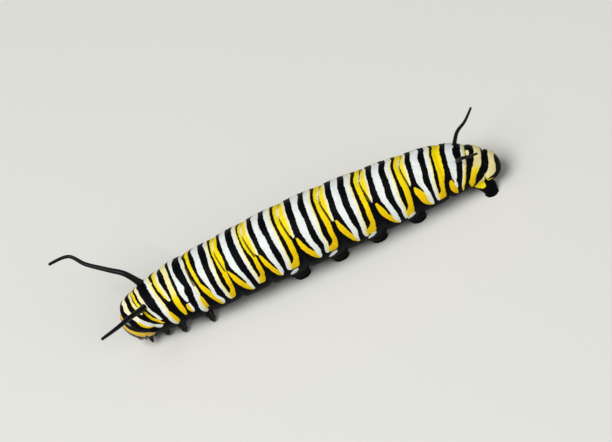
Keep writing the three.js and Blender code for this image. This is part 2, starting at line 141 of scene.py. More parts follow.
# The light bands on the black skin. Each has its warmth on the back and on the flank, and its
# stations: the turn down the side, and the places of the front and rear edges there. A band whose
# first station is at 0 crosses the back, and each ends at its last station.
BANDS = [
    # thorax 1
    (CREAM, WHITE, [(0, .78, .90), (15, .71, .91), (25, .77, .93), (40, .86, 1.04), (60, 1.02, 1.2),
                    (75, 1.16, 1.34), (88, 1.34, 1.55), (93, 1.44, 1.5)]),
    (YELLOW, GOLD, [(50, .94, .97), (60, .96, 1.06), (75, 1.05, 1.19), (86, 1.25, 1.33)]),
    (YELLOW, YELLOW, [(0, 1.05, 1.12), (15, 1.08, 1.16), (40, 1.19, 1.26), (47, 1.24, 1.26)]),
    (YELLOW, GOLD, [(0, 1.16, 1.24), (15, 1.2, 1.28), (40, 1.3, 1.365), (60, 1.365, 1.45),
                    (75, 1.48, 1.57), (84, 1.55, 1.61)]),
    # thorax 2
    (CREAM, WHITE, [(0, 1.30, 1.38), (15, 1.34, 1.43), (25, 1.37, 1.46), (45, 1.44, 1.51),
                    (60, 1.51, 1.59), (74, 1.57, 1.63)]),
    (WHITE, WHITE, [(0, 1.62, 1.78), (15, 1.68, 1.81), (30, 1.71, 1.85), (45, 1.73, 1.89),
                    (60, 1.73, 1.91), (75, 1.75, 1.88), (90, 1.76, 1.9), (107, 1.82, 1.9)]),
    (GOLD, GOLD, [(64, 1.87, 1.91), (75, 1.86, 1.96), (90, 1.87, 2.0), (101, 1.9, 1.97)]),
    (YELLOW, YELLOW, [(0, 1.83, 1.97), (15, 1.88, 2.04), (30, 1.94, 2.09), (45, 2.02, 2.11),
                      (48, 2.05, 2.1)]),
    # thorax 3
    (BUFF, GOLD, [(0, 2.20, 2.37), (30, 2.21, 2.39), (60, 2.17, 2.39), (75, 2.2, 2.39),
                  (87, 2.26, 2.35)]),
    (WHITE, WHITE, [(0, 2.44, 2.55), (15, 2.49, 2.62), (30, 2.51, 2.71), (36, 2.5, 2.75),
                    (45, 2.50, 2.69), (60, 2.57, 2.69), (64, 2.6, 2.67)]),
    (GOLD, GOLD, [(66, 2.52, 2.58), (72, 2.48, 2.6), (82, 2.5, 2.6), (88, 2.56, 2.6)]),
    (WHITE, WHITE, [(66, 2.58, 2.66), (72, 2.6, 2.69), (82, 2.6, 2.69), (88, 2.6, 2.65)]),
    (WHITE, WHITE, [(0, 2.88, 3.02), (15, 2.94, 3.06), (30, 2.96, 3.09), (45, 2.98, 3.13),
                    (60, 2.93, 3.14), (75, 2.90, 3.06), (90, 2.86, 3.06), (104, 2.92, 3.06),
                    (113, 2.99, 3.05)]),
    (GOLD, GOLD, [(66, 3.1, 3.15), (75, 3.06, 3.17), (90, 3.06, 3.17), (101, 3.06, 3.13)]),
    # abdomen 1
    (YELLOW, GOLD, [(0, 3.11, 3.21), (15, 3.15, 3.26), (30, 3.18, 3.29), (45, 3.22, 3.32),
                    (60, 3.28, 3.46), (75, 3.38, 3.5), (90, 3.48, 3.6), (103, 3.56, 3.6)]),
    (WHITE, WHITE, [(0, 3.41, 3.58), (30, 3.38, 3.58), (45, 3.43, 3.58), (60, 3.49, 3.6),
                    (75, 3.5, 3.6), (90, 3.59, 3.7), (103, 3.6, 3.65)]),
    (WHITE, WHITE, [(0, 3.82, 3.91), (15, 3.80, 3.92), (27, 3.765, 3.92), (45, 3.78, 3.90),
                    (60, 3.77, 3.9), (75, 3.8, 3.92), (90, 3.82, 3.93), (100, 3.87, 3.93)]),
    (YELLOW, GOLD, [(0, 3.965, 4.18), (15, 3.99, 4.24), (30, 4.01, 4.26), (45, 4.04, 4.2),
                    (60, 4.03, 4.18), (80, 4.0, 4.15), (86, 3.92, 4.12), (90, 3.92, 4.1),
                    (100, 3.93, 4.0)]),
    # abdomen 2
    (YELLOW, GOLD, [(45, 4.22, 4.27), (52, 4.24, 4.33), (60, 4.26, 4.42), (75, 4.34, 4.53),
                    (83, 4.41, 4.6), (90, 4.48, 4.62), (100, 4.62, 4.68)]),
    (WHITE, WHITE, [(0, 4.36, 4.54), (30, 4.37, 4.58), (45, 4.40, 4.60), (60, 4.51, 4.65),
                    (75, 4.59, 4.69), (90, 4.61, 4.71), (100, 4.66, 4.7)]),
    (WHITE, WHITE, [(0, 4.77, 4.90), (30, 4.80, 4.93), (60, 4.84, 4.96), (75, 4.86, 4.97),
                    (88, 4.87, 4.95), (93, 4.88, 4.93)]),
    (YELLOW, GOLD, [(0, 4.94, 5.03), (30, 5.0, 5.12), (45, 5.07, 5.17), (60, 5.06, 5.17),
                    (77, 5.03, 5.16), (83, 4.96, 5.13), (90, 4.94, 5.1), (94, 4.95, 5.06)]),
    # abdomen 3
    (YELLOW, YELLOW, [(0, 5.03, 5.20), (15, 5.05, 5.24), (30, 5.1, 5.26), (40, 5.18, 5.26),
                      (44, 5.21, 5.25)]),
    (YELLOW, GOLD, [(45, 5.24, 5.29), (60, 5.26, 5.38), (75, 5.33, 5.455), (83, 5.38, 5.5),
                    (90, 5.42, 5.5), (97, 5.49, 5.52)]),
    (WHITE, WHITE, [(0, 5.355, 5.5), (15, 5.38, 5.54), (30, 5.38, 5.575), (45, 5.41, 5.57),
                    (60, 5.445, 5.58), (74, 5.49, 5.6), (90, 5.5, 5.585), (97, 5.51, 5.54)]),
    (WHITE, WHITE, [(0, 5.69, 5.83), (30, 5.70, 5.86), (45, 5.72, 5.866), (60, 5.74, 5.86),
                    (75, 5.72, 5.85), (90, 5.695, 5.8), (94, 5.72, 5.79)]),
    (YELLOW, GOLD, [(0, 5.91, 6.015), (15, 5.92, 6.04), (30, 5.94, 6.08), (45, 5.964, 6.096),
                    (60, 5.96, 6.09), (78, 5.915, 6.06), (84, 5.83, 6.03), (90, 5.8, 6.0),
                    (95, 5.82, 5.95)]),
    # abdomen 4
    (YELLOW, YELLOW, [(0, 6.03, 6.2), (15, 6.05, 6.22), (30, 6.09, 6.21), (40, 6.13, 6.2),
                      (44, 6.15, 6.19)]),
    (YELLOW, GOLD, [(46, 6.2, 6.25), (60, 6.206, 6.32), (75, 6.28, 6.425), (83, 6.34, 6.48),
                    (90, 6.40, 6.49), (97, 6.48, 6.51)]),
    (WHITE, WHITE, [(0, 6.376, 6.5), (15, 6.38, 6.53), (30, 6.36, 6.55), (45, 6.37, 6.53),
                    (60, 6.41, 6.54), (74, 6.46, 6.59), (90, 6.48, 6.57), (97, 6.5, 6.54)]),
    (WHITE, WHITE, [(0, 6.68, 6.82), (30, 6.67, 6.83), (60, 6.69, 6.8), (75, 6.71, 6.82),
                    (90, 6.67, 6.76), (94, 6.69, 6.75)]),
    (YELLOW, GOLD, [(0, 6.90, 7.0), (30, 6.91, 7.05), (45, 6.93, 7.06), (60, 6.93, 7.04),
                    (78, 6.895, 7.03), (84, 6.8, 7.01), (90, 6.76, 6.98), (95, 6.78, 6.93)]),
    # abdomen 5
    (YELLOW, YELLOW, [(0, 7.02, 7.19), (15, 7.04, 7.19), (30, 7.07, 7.17), (40, 7.09, 7.16),
                      (45, 7.11, 7.15)]),
    (YELLOW, GOLD, [(46, 7.17, 7.22), (60, 7.17, 7.30), (75, 7.24, 7.375), (83, 7.29, 7.42),
                    (90, 7.34, 7.43), (102, 7.44, 7.48)]),
    (WHITE, WHITE, [(0, 7.35, 7.49), (15, 7.33, 7.49), (30, 7.32, 7.48), (45, 7.34, 7.49),
                    (60, 7.38, 7.5), (74, 7.41, 7.54), (90, 7.42, 7.5), (102, 7.46, 7.49)]),
    (WHITE, WHITE, [(0, 7.67, 7.8), (15, 7.65, 7.8), (30, 7.63, 7.8), (45, 7.64, 7.79),
                    (60, 7.65, 7.77), (75, 7.64, 7.76), (90, 7.62, 7.72), (100, 7.66, 7.72)]),
    (YELLOW, GOLD, [(0, 7.88, 8.0), (30, 7.89, 8.0), (45, 7.90, 8.01), (60, 7.88, 8.0),
                    (78, 7.845, 7.98), (84, 7.75, 7.96), (90, 7.72, 7.95), (97, 7.73, 7.9)]),
    # abdomen 6
    (YELLOW, YELLOW, [(0, 8.02, 8.2), (15, 8.02, 8.18), (30, 8.03, 8.15), (40, 8.05, 8.13),
                      (44, 8.08, 8.12)]),
    (YELLOW, GOLD, [(47, 8.15, 8.2), (60, 8.15, 8.28), (75, 8.21, 8.345), (83, 8.27, 8.4),
                    (90, 8.32, 8.41), (108, 8.46, 8.5)]),
    (WHITE, WHITE, [(0, 8.335, 8.49), (15, 8.31, 8.48), (30, 8.30, 8.47), (45, 8.30, 8.44),
                    (60, 8.35, 8.47), (75, 8.38, 8.51), (90, 8.4, 8.52), (108, 8.48, 8.51)]),
    (WHITE, WHITE, [(0, 8.63, 8.77), (30, 8.62, 8.76), (45, 8.60, 8.74), (60, 8.60, 8.73),
                    (75, 8.63, 8.74), (90, 8.62, 8.72), (105, 8.64, 8.7)]),
    (YELLOW, GOLD, [(0, 8.85, 8.96), (30, 8.84, 8.98), (45, 8.86, 9.0), (60, 8.84, 8.98),
                    (79, 8.795, 8.95), (85, 8.73, 8.93), (90, 8.72, 8.92), (100, 8.72, 8.88)]),
    # abdomen 7
    (YELLOW, YELLOW, [(0, 8.98, 9.14), (30, 9.0, 9.11), (40, 9.0, 9.09), (44, 9.02, 9.07)]),
    (YELLOW, GOLD, [(49, 9.11, 9.16), (60, 9.10, 9.28), (68, 9.13, 9.34), (90, 9.24, 9.36),
                    (102, 9.4, 9.44)]),
    (WHITE, WHITE, [(0, 9.30, 9.48), (30, 9.25, 9.46), (45, 9.25, 9.41), (60, 9.32, 9.44),
                    (68, 9.33, 9.46), (90, 9.35, 9.47), (102, 9.42, 9.45)]),
    (WHITE, WHITE, [(0, 9.68, 9.8), (15, 9.64, 9.79), (30, 9.62, 9.77), (45, 9.59, 9.73),
                    (60, 9.58, 9.7), (75, 9.57, 9.69), (90, 9.57, 9.67), (98, 9.6, 9.67)]),
    (YELLOW, GOLD, [(0, 9.87, 10.1), (30, 9.86, 10.08), (45, 9.85, 10.06), (60, 9.80, 9.98),
                    (77, 9.755, 9.92), (83, 9.68, 9.91), (90, 9.67, 9.9), (98, 9.68, 9.86)]),
    # abdomen 8
    (WHITE, WHITE, [(0, 10.25, 10.49), (15, 10.26, 10.52), (21, 10.26, 10.565), (30, 10.26, 10.56),
                    (45, 10.28, 10.53), (60, 10.30, 10.48), (66, 10.34, 10.43), (75, 10.34, 10.47),
                    (84, 10.38, 10.46)]),
    (GOLD, GOLD, [(62, 10.16, 10.26), (75, 10.11, 10.36), (90, 10.16, 10.43), (105, 10.36, 10.42)]),
    (WHITE, CREAM, [(0, 10.83, 11.0), (30, 10.82, 11.0), (45, 10.79, 10.96), (60, 10.75, 10.91),
                    (75, 10.68, 10.86), (90, 10.64, 10.76), (105, 10.66, 10.71)]),
    (YELLOW, YELLOW, [(0, 11.05, 11.18), (8, 11.05, 11.17), (13, 11.07, 11.12)]),
    # abdomen 9
    (BUFF, GOLD, [(0, 11.4, 11.88), (15, 11.37, 11.84), (30, 11.33, 11.82), (45, 11.23, 11.7),
                  (60, 11.16, 11.52), (75, 11.08, 11.42), (90, 10.99, 11.39), (108, 11.1, 11.25)]),
    # abdomen 10
    (BUFF, BUFF, [(0, 12.26, 12.56), (30, 12.27, 12.62), (60, 12.15, 12.64), (75, 11.95, 12.56),
                  (85, 11.8, 12.34), (93, 11.65, 12.16), (97, 11.6, 12.08)]),
    (YELLOW, YELLOW, [(93, 11.64, 11.9), (97, 11.58, 12.3), (101, 11.52, 12.5), (105, 11.47, 12.4),
                      (109, 11.42, 12.0), (114, 11.32, 11.66), (122, 11.17, 11.26)]),
]
# A cream patch slants over the root of each proleg of the abdomen. Its stations' places count
# from its segment's front fold.
PROLEG_PATCH = [(98, 0.8, 0.92), (104, 0.7, 0.9), (112, 0.67, 0.8)]

# The dark crease in a fold of the abdomen: the fold numbers between which it shows, its least
# half width in segments, what its left side adds and between which turns, and the turns between
# which it fades out down the side. Round CREASE_GAP, a turn and its spread, it gives way to a
# pale line.
CREASED_FOLDS = (2.5, 9.5)
CREASE_WIDTH = 0.017
CREASE_WIDENING = 0.014
CREASE_WIDE_TURNS = (-10, 30)
CREASE_END_TURNS = (42, 48)
CREASE_GAP = (-12, 12)
PALE_LINE = 0.55        # how much warmth the pale line takes away, and its half width
PALE_LINE_WIDTH = 0.03

# Prolegs: the segment's number, and for its root the place, the turn, and the half length and
# half width of the skin that it grows from, in millimetres.
PROLEG_SEGMENTS = (3, 4, 5, 6)
ABDOMEN_PLACE = 2       # abdomen segment n begins at place n + 2
PROLEG_PLACE = 0.83
PROLEG_TURN = 143.2
PROLEG_ROOT = (1.42, 1.3)
PROLEG_SPREAD = 0.05    # how far the foot stands out past the root, in millimetres
PROLEG_STEP = 0.12      # and behind it
PROLEG_SUNK = 0.5       # how far inside the skin its root's middle is
PROLEG_BLEND = 0.35     # the share of the root's skin, from its rim, that blends into the trunk
SOLE_SHARE = 0.3        # the share of the root's skin, from its middle, that becomes the sole
BLACK_SHARE = 0.8       # below this share of its height a proleg is black
# The tail prolegs: the root's place, how far out root and foot stand, and the foot's step back,
# then the skin that they grow from, their size over the profile below, and how far lower than on
# the others the black begins.
TAIL_PROLEG = (11.65, 1.1, 2.1, 0.15)
TAIL_PROLEG_ROOT = (1.2, 1.25)
TAIL_PROLEG_SCALE = 0.85
TAIL_BLACK_DROP = 0.45
# A proleg's half length and half width by its height share above the floor, in millimetres.
PROLEG_PROFILE = np.array([
    (0.0, 0.86, 0.66), (0.09, 0.86, 0.68), (0.17, 0.78, 0.62), (0.3, 0.84, 0.68), (0.5, 1.0, 0.8),
    (0.72, 1.12, 0.86), (1.0, 1.15, 0.85),
])


def hex_colour(text):
    """The linear colour of an sRGB hex value: each channel c becomes c / 12.92 where it is dark,
    and ((c + 0.055) / 1.055)^2.4 elsewhere."""
    channels = np.array([int(text[i:i + 2], 16) / 255 for i in (1, 3, 5)])
    linear = np.where(channels <= 0.04045, channels / 12.92, ((channels + 0.055) / 1.055) ** 2.4)
    return (*linear.tolist(), 1.0)


def smooth_step(value, low, high):
    """0 below low, 1 above high, and 3t^2 - 2t^3 between them."""
    t = np.clip((value - low) / (high - low), 0, 1)
    return t * t * (3 - 2 * t)


def hump(value, middle, width):
    """A bell: e to the power of minus the squared distance from the middle over the width."""
    return np.exp(-(((value - middle) / width) ** 2))


def unit(vectors):
    """Vectors over their own lengths."""
    return vectors / np.maximum(np.linalg.norm(vectors, axis=-1, keepdims=True), 1e-12)


def through(points, place):
    """A smooth curve that passes point k at place k: between b and c, with a before and d after, at the
    share t, b + t/2 (c - a + t (2a - 5b + 4c - d + t (3b - 3c + d - a)))."""
    last = len(points) - 1
    start = np.clip(np.floor(place).astype(int), 0, last - 1)
    t = (place - start)[..., None]
    a = points[np.maximum(start - 1, 0)]
    b = points[start]
    c = points[start + 1]
    d = points[np.minimum(start + 2, last)]
    return b + t / 2 * (c - a + t * (2 * a - 5 * b + 4 * c - d + t * (3 * (b - c) + d - a)))


def by_place(table, place):
    """A value read off a table of (place, value) rows, straight between them."""
    return np.interp(place, table[:, 0], table[:, 1])


def edge(stations, column, turn):
    """A band's edge at each turn: a cubic through its stations, each with the slope between its
    neighbours, so that it runs on without a kink."""
    rows = np.array(stations, float)
    known, value = rows[:, 0], rows[:, column]
    slope = np.gradient(value, known)
    at = np.clip(turn, known[0], known[-1])
    i = np.clip(np.searchsorted(known, at, side="right") - 1, 0, len(known) - 2)
    span = known[i + 1] - known[i]
    t = (at - known[i]) / span
    rise = value[i + 1] - value[i]
    bend = span * slope[i] - rise
    sag = -span * slope[i + 1] + rise
    return value[i] + t * rise + t * (1 - t) * ((1 - t) * bend + t * sag)


def pattern_place(place, turn):
    """The place that the skin's pattern has at a point: on the right side it is twisted forward
    or back by TWIST, which fades in from the mid back and out again towards the belly."""
    right = smooth_step(-turn, 0, TWIST_TURN) * smooth_step(180 + turn, 0, BELLY_FADE)
    return place - by_place(TWIST, place) * right


def section(place):
    """The trunk's axis at a place: its point, the directions along, to the right and up, and the
    radius. The directions come from the axis a little before and after."""
    step = 0.01
    here = through(FOLDS, place)
    ahead = through(FOLDS, np.minimum(place + step, END))
    behind = through(FOLDS, np.maximum(place - step, 0))
    along = unit((ahead - behind)[..., :3])
    right = unit(np.cross([0.0, 0.0, 1.0], along))
    return here[..., :3] - ORIGIN, along, right, np.cross(along, right), here[..., 3]


def fold_phase(place, turn):
    """How far a point is behind the nearest fold, in segments, and that fold's number. A fold
    crosses the back at its number plus FOLD_LEAN, and sweeps back by FOLD_SWEEP down the flank."""
    own = pattern_place(place, turn)
    back_again = SWEEP_RETURN * smooth_step(np.abs(turn), *BELLY_TURNS)
    sweep = smooth_step(np.abs(turn), 0, SWEEP_TURN) * (1 - back_again)
    own = own - by_place(FOLD_LEAN, own) - by_place(FOLD_SWEEP, own) * sweep
    number = np.round(own)
    return own - number, number


def groove_depth(place, turn):
    """How deep the skin is folded in, in millimetres: a wide and a narrow bell across each fold,
    the wide one deeper low on the flank, and narrow bells that part each abdomen segment into its
    annulets."""
    phase, number = fold_phase(place, turn)
    inner = (number > 0.5) & (number < END - 0.5)
    flank = hump(np.abs(turn), FLANK_TURN, FLANK_SPREAD)
    depth = inner * hump(phase, 0, FOLD_WIDTH) * (FOLD_DEPTH + FOLD_FLANK_DEPTH * flank)
    depth += inner * hump(phase, 0, LINE_WIDTH) * LINE_DEPTH
    share = np.mod(phase, 1.0)
    abdomen = smooth_step(place, *RING_PLACES[:2]) * (1 - smooth_step(place, *RING_PLACES[2:]))
    fade = 1 - smooth_step(np.abs(turn), *RING_TURNS)
    for ring in RING_SHARES:
        depth = depth + RING_DEPTH * abdomen * fade * hump(share, ring, LINE_WIDTH)
    return depth


def neck_place(turn):
    """Where the skin begins behind the head: NECK's first value on the back, its second under the
    belly, and by half of 1 - cos(turn) between them."""
    return NECK[0] + (NECK[1] - NECK[0]) * 0.5 * (1 - np.cos(np.radians(turn)))


def trunk_surface(place, turn):
    """The trunk's skin: round the axis by the turn at the section's radius, swollen between folds
    and sunk in its grooves, wider than high and flatter below. Past the last fold the ring moves
    on along the axis by its share b of the tail, shrinks by the root of 1 - b^TAIL_WEDGE and
    droops by b^2, so that it closes over the tail. At its front edge, with n falling from 1 there
    to 0, the radius shrinks by the root of 1 - NECK_PINCH n^2, and the skin rolls in."""
    core = np.minimum(place, TAIL)
    centre, along, right, up, radius = section(core)
    share = np.mod(core, 1.0)
    radius = radius * (1 + SWELL * np.sin(np.pi * share)) - groove_depth(place, turn)
    neck = np.clip(1 - (place - neck_place(turn)) / NECK_ROLL, 0, 1)
    radius = radius * np.sqrt(1 - NECK_PINCH * neck ** 2)
    angle = np.radians(turn)
    lift = np.cos(angle)
    wide = -radius * SIDE_SHARE * np.sin(angle)
    rise = radius * np.where(lift > 0, lift, BELLY_SHARE * lift)
    b = place - core
    shrink = np.sqrt(np.maximum(1 - b ** TAIL_WEDGE, 0))
    ahead = b * TAIL_LENGTH + TAIL_OVERHANG * rise * b * shrink
    height = rise * shrink + TAIL_PLUMP * b * rise * shrink - TAIL_DROOP * b * b * TAIL_LENGTH
    return (centre + along * ahead[..., None] + right * (wide * shrink)[..., None]
            + up * height[..., None])


def grow_proleg(points, place, turn, side, root_place, root_size, root, foot, scale=1.0):
    """Draws the skin of an oval round a root down into a proleg, and returns the height share of
    each point. With d the distance from the root's middle over the oval's size, that share falls
    from 1 at the rim to 0 at d = SOLE_SHARE, and inside lies the flat sole. The wall's middle runs
    straight from foot to root, its section follows PROLEG_PROFILE times the scale, and the rim
    blends into the trunk by a smooth step."""
    radius = section(place)[4]
    length = np.gradient(points[:, 0, 0])[:, None] / np.gradient(place[:, 0])[:, None]
    back = (place - root_place) * length / root_size[0]
    down = (side * turn - PROLEG_TURN) * np.radians(1) * radius / root_size[1]
    distance = np.hypot(back, down)
    inside = (distance < 1) & (side * turn > 0)
    toward_rear = back / np.maximum(distance, 1e-9)
    toward_out = -down / np.maximum(distance, 1e-9)
    height = np.clip((distance - SOLE_SHARE) / (1 - SOLE_SHARE), 0, 1)
    sole = np.clip(distance / SOLE_SHARE, 0, 1)
    long = np.interp(height, PROLEG_PROFILE[:, 0], PROLEG_PROFILE[:, 1]) * sole * scale
    wide = np.interp(height, PROLEG_PROFILE[:, 0], PROLEG_PROFILE[:, 2]) * sole * scale
    middle = foot[:2] + height[..., None] * (root[:2] - foot[:2])
    wall = np.stack([middle[..., 0] + long * toward_rear,
                     middle[..., 1] - side * wide * toward_out,
                     np.maximum(points[..., 2], 0) * height], -1)
    blend = smooth_step(1 - distance, 0, PROLEG_BLEND) * inside
    points += blend[..., None] * (wall - points)
    return np.where(inside, height, 1.0)


def band_fields(place, turn):
    """The signed distance in millimetres into the nearest light band, and the warmth there. A
    point is in a band by the least of its distances behind the front edge, before the rear edge
    and inside the end stations. Each band's warmth is weighed by e to the power of that distance
    over TINT_BLEND. The rear rims of the short yellow bands and of each segment's second white
    band turn towards cream, by a bell RIM_WIDTH wide."""
    own = pattern_place(place, turn)
    length = np.gradient(through(FOLDS, place[:, 0])[:, 0], place[:, 0])[:, None]
    radius = section(place)[4]
    down = np.hypot(turn, BACK_ROUNDING)
    column = down[0]
    bands = list(BANDS)
    for segment in PROLEG_SEGMENTS:
        fold = segment + ABDOMEN_PLACE
        bands.append((CREAM, WHITE, [(t, fold + a, fold + b) for t, a, b in PROLEG_PATCH]))
    best = np.full(place.shape, -1.0)
    weights = np.full(place.shape, 1e-9)
    warmth = np.zeros(place.shape)
    for on_back, on_flank, stations in bands:
        front = edge(stations, 1, column)
        rear = edge(stations, 2, column)
        inside = np.minimum((own - front) * length, (rear - own) * length)
        inside = np.minimum(inside, np.radians(stations[-1][0] - down) * radius)
        if stations[0][0] > 0:
            inside = np.minimum(inside, np.radians(down - stations[0][0]) * radius)
        weight = np.exp(np.clip(inside, -1, 1) / TINT_BLEND)
        tint = on_back + (on_flank - on_back) * smooth_step(down, *TINT_TURNS)
        rim = hump((rear - own) * length, 0, RIM_WIDTH)
        if on_back == YELLOW and stations[-1][0] < SHORT_TURN:
            tint = tint + YELLOW_RIM * rim
        elif on_back == WHITE and np.mod(stations[0][1], 1) > SECOND_SHARE:
            tint = tint + WHITE_RIM * rim
        warmth += weight * tint
        weights += weight
        best = np.maximum(best, inside)
    return best, warmth / weights


def crease_fields(place, turn):
    """How dark the crease is in each fold of the abdomen, a bell across the fold, and how pale the
    line is that takes its place near the mid back, a wider bell times a bell round CREASE_GAP."""
    phase, number = fold_phase(place, turn)
    creased = (number > CREASED_FOLDS[0]) & (number < CREASED_FOLDS[1])
    gap = hump(turn, *CREASE_GAP)
    width = CREASE_WIDTH + CREASE_WIDENING * smooth_step(turn, *CREASE_WIDE_TURNS)
    fade = 1 - smooth_step(np.abs(turn), *CREASE_END_TURNS)
    dark = creased * hump(phase, 0, width) * (1 - gap) * fade
    return dark, PALE_LINE * gap * creased * hump(phase, 0, PALE_LINE_WIDTH)


def closed_mesh(name, rings, first, last, fields=None):
    """A mesh over a grid of rings of points, each ring closed on itself, with a fan of triangles to
    the point first before them and the point last after them."""
    count, sides = rings.shape[:2]
    vertices = np.concatenate([rings.reshape(-1, 3), [first], [last]]) * MM
    ids = np.arange(count * sides).reshape(count, sides)
    beside = np.roll(ids, -1, axis=1)
    quads = np.stack([ids[:-1], beside[:-1], beside[1:], ids[1:]], -1).reshape(-1, 4)
    start = np.stack([np.full(sides, count * sides), beside[0], ids[0]], -1)
    end = np.stack([np.full(sides, count * sides + 1), ids[-1], beside[-1]], -1)
    mesh = bpy.data.meshes.new(name)
    mesh.from_pydata(vertices, [], quads.tolist() + start.tolist() + end.tolist())
    mesh.polygons.foreach_set("use_smooth", np.ones(len(mesh.polygons), bool))
    for key, values in (fields or {}).items():
        attribute = mesh.attributes.new(key, "FLOAT", "POINT")
        flat = np.concatenate([values.ravel(), [values[0].mean(), values[-1].mean()]])
        attribute.data.foreach_set("value", flat.astype(np.float32))
    mesh.update()
    return mesh


def place_piece(name, meshes, material, nodes):
    """One object at the origin from one or more meshes, riding on the root body, in the place of
    the frame's own nodes."""
    parts = [bpy.data.objects.new(mesh.name, mesh) for mesh in meshes]
    for part in parts:
        bpy.context.scene.collection.objects.link(part)
    piece = parts[0]
    if len(parts) > 1:
        with bpy.context.temp_override(active_object=piece, selected_editable_objects=parts):
            bpy.ops.object.join()
    piece.name = name
    piece.data.name = name
    piece.data.materials.clear()
    piece.data.materials.append(material)
    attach(piece, "root")
    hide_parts(*nodes)


def nodes_named(*starts):
    """The frame's nodes whose names start with one of the words."""
    return sorted(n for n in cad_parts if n.startswith(starts))


def tube(path, radii, sides, normal=None):
    """Round sections carried along a smooth path: a point is the path plus the radius times the
    cosine of its turn towards one side and the sine towards the other, with the first side square
    to the normal. Returns the rings and the path's two ends, which close them."""
    points = np.array(path, float)
    at = np.linspace(0, len(points) - 1, len(radii))
    centre = through(points, at)
    along = unit(through(points, np.minimum(at + 0.01, len(points) - 1))
                 - through(points, np.maximum(at - 0.01, 0)))
    if normal is None:
        normal = np.cross(points[-1] - points[0], points[len(points) // 2] - points[0])
    flat = unit(np.cross(np.asarray(normal, float), along))
    across = np.cross(along, flat)
    turn = np.linspace(0, 2 * np.pi, sides, endpoint=False)
    radii = np.asarray(radii, float)[:, None, None]
    rings = (centre[:, None] + radii * np.cos(turn)[None, :, None] * flat[:, None]
             + radii * np.sin(turn)[None, :, None] * across[:, None])
    return rings, centre[0], centre[-1]


def round_off(t, start):
    """What rounds off a tube's tip: 1 up to the share start of its length, and then the root of
    1 - u^2, where u goes from 0 to 1 at the tip."""
    u = np.clip((t - start) / (1 - start), 0, 1)
    return np.sqrt(np.maximum(1 - u ** 2, 1e-3))


# Materials.


def add_node(tree, kind, settings=None, links=None):
    """Adds one shader node. Settings name a socket or, where there is none of that name, a property
    of the node, and links name a socket and the output that feeds it."""
    node = tree.nodes.new(kind)
    for key, value in (settings or {}).items():
        if isinstance(key, int) or key in node.inputs:
            node.inputs[key].default_value = value
        else:
            setattr(node, key, value)
    for key, source in (links or {}).items():
        tree.links.new(source, node.inputs[key])
    return node


def new_material(name):
    """A material with only its output and a principled shader. Returns it, its tree and the
    shader."""
    material = bpy.data.materials.new(name)
    material.use_nodes = True
    tree = material.node_tree
    tree.nodes.clear()
    shader = add_node(tree, "ShaderNodeBsdfPrincipled")
    output = add_node(tree, "ShaderNodeOutputMaterial")
    tree.links.new(shader.outputs["BSDF"], output.inputs["Surface"])
    return material, tree, shader


def per_mm(size):
    """The scale of a texture whose features are that many millimetres wide."""
    return 1 / (size * MM)


def ragged_mask(tree, where, field, grain, detail, swing, soft):
    """1 where an attribute, a distance in millimetres into a mark, is over 0, and 0 outside. The
    edge wanders by noise of that grain and detail, by half of swing each way, and is soft between
    two distances."""
    inside = add_node(tree, "ShaderNodeAttribute", {"attribute_name": field}).outputs["Fac"]
    noise = add_node(tree, "ShaderNodeTexNoise", {"Scale": per_mm(grain), "Detail": detail},
                     {"Vector": where})
    shift = add_node(tree, "ShaderNodeMath",
                     {"operation": "MULTIPLY_ADD", 1: swing, 2: -swing / 2},
                     {0: noise.outputs["Fac"]})
    edged = add_node(tree, "ShaderNodeMath", {"operation": "ADD"}, {0: inside, 1: shift.outputs[0]})
    mask = add_node(tree, "ShaderNodeMapRange",
                    {"interpolation_type": "SMOOTHSTEP", "From Min": soft[0], "From Max": soft[1]},
                    {"Value": edged.outputs[0]})
    return mask.outputs["Result"]


